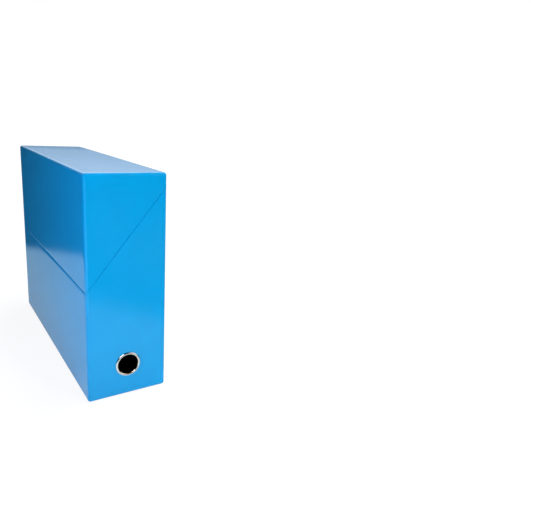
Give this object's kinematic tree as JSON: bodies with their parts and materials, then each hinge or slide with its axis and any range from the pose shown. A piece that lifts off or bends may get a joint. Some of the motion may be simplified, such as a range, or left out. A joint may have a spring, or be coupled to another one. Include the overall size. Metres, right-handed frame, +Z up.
{
  "type": "box file",
  "caption": "Rigid covered-card box file for papers kept on edge, with a slanted swing-over lid hinged high on one side and a metal finger ring in the spine.",
  "frame": {"origin": "middle of the flat underside", "axes": "+X across the spine, towards the hinge side; +Y from the spine to the back; +Z up"},
  "size_m": [0.0909, 0.3415, 0.255],
  "materials": {
    "tray_cover": "glossy laminated cover paper over board",
    "lid_cover": "glossy laminated cover paper over board",
    "hinge_paper": "glossy laminated cover paper",
    "ring_nickel": "bright nickel plate"
  },
  "bodies": {
    "tray": {"tray": "tray_cover", "hinge_strip": "hinge_paper", "finger_ring": "ring_nickel"},
    "lid": {"lid": "lid_cover"}
  },
  "joints": [
    {"name": "lid_hinge", "type": "hinge", "parent": "tray", "child": "lid", "pos_m": [0.04545, 0, 0.24], "axis": [0, 1, 0], "range_deg": [0, 180], "deforming": ["hinge_strip"]}
  ]
}
